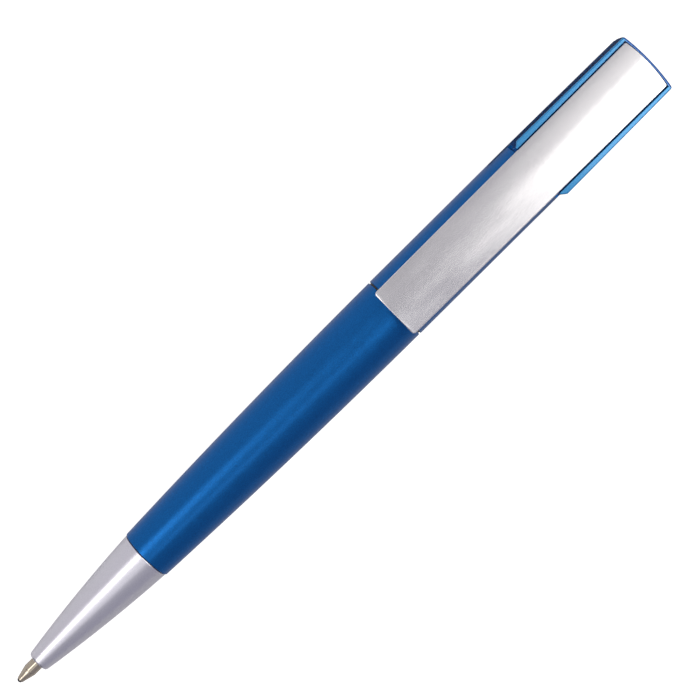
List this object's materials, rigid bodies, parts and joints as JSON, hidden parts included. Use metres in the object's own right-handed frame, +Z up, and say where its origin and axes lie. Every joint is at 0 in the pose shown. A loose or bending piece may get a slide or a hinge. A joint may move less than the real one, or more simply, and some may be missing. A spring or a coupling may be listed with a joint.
{
  "type": "ballpoint pen",
  "caption": "Slim twist-action retractable ballpoint pen with a conical nose, a tapered barrel and a flat spring clip set in a rimmed frame.",
  "frame": {"origin": "on the surface that the pen lies on, under the middle of its length and width", "axes": "+X along the pen from the writing ball to the top end, +Z up, out through the clip, +Y to the side"},
  "size_m": [0.144, 0.0118, 0.0139],
  "materials": {
    "nose_metal": "satin anodised silver",
    "clip_metal": "satin anodised silver",
    "barrel_lacquer": "satin metallic blue lacquer",
    "frame_plastic": "polished blue",
    "nickel_silver": "turned nickel silver",
    "carbide": "ground carbide",
    "brass": "turned",
    "steel": "drawn",
    "white_plastic": "moulded acetal",
    "black_plastic": "moulded acetal",
    "ring_rubber": "matte",
    "ink": "paste ink, a soft filling that stands for the fluid"
  },
  "bodies": {
    "lower_body": {"nose_cone": "nose_metal", "lower_barrel": "barrel_lacquer", "centre_bush": "brass", "guide_sleeve": "brass", "retaining_ring": "steel", "friction_ring": "ring_rubber", "slip_washer": "black_plastic", "return_spring": "steel"},
    "upper_body": {"upper_barrel": "barrel_lacquer", "clip_frame": "frame_plastic", "cam_sleeve": "black_plastic", "mechanism_cap": "black_plastic"},
    "clip_plate": {"clip": "clip_metal"},
    "refill": {"writing_tip": "nickel_silver", "refill_neck": "brass", "ink_tube": "steel", "ink_column": "ink", "refill_plug": "white_plastic", "refill_carrier": "white_plastic"},
    "ball": {"writing_ball": "carbide"}
  },
  "joints": [
    {"name": "twist", "type": "hinge", "parent": "lower_body", "child": "upper_body", "pos_m": [0.01505, 0, 0.00593], "axis": [1, 0, 0], "range_deg": [0, 180]},
    {"name": "refill_slide", "type": "slide", "parent": "lower_body", "child": "refill", "axis": [1, 0, 0], "range_m": [0, 0.00551], "deforming": ["return_spring"]},
    {"name": "clip_flex", "type": "hinge", "parent": "upper_body", "child": "clip_plate", "pos_m": [0.06875, 0, 0.01253], "axis": [0, 1, 0], "range_deg": [0, 4], "stiffness_Nm_per_rad": 2},
    {"name": "ball_roll", "type": "hinge", "parent": "refill", "child": "ball", "pos_m": [-0.0715, 0, 0.00593], "axis": [0, 1, 0], "continuous": true}
  ],
  "couplings": [
    {"joint": "refill_slide", "follows": "twist", "m_per_rad": 0.0017507}
  ]
}
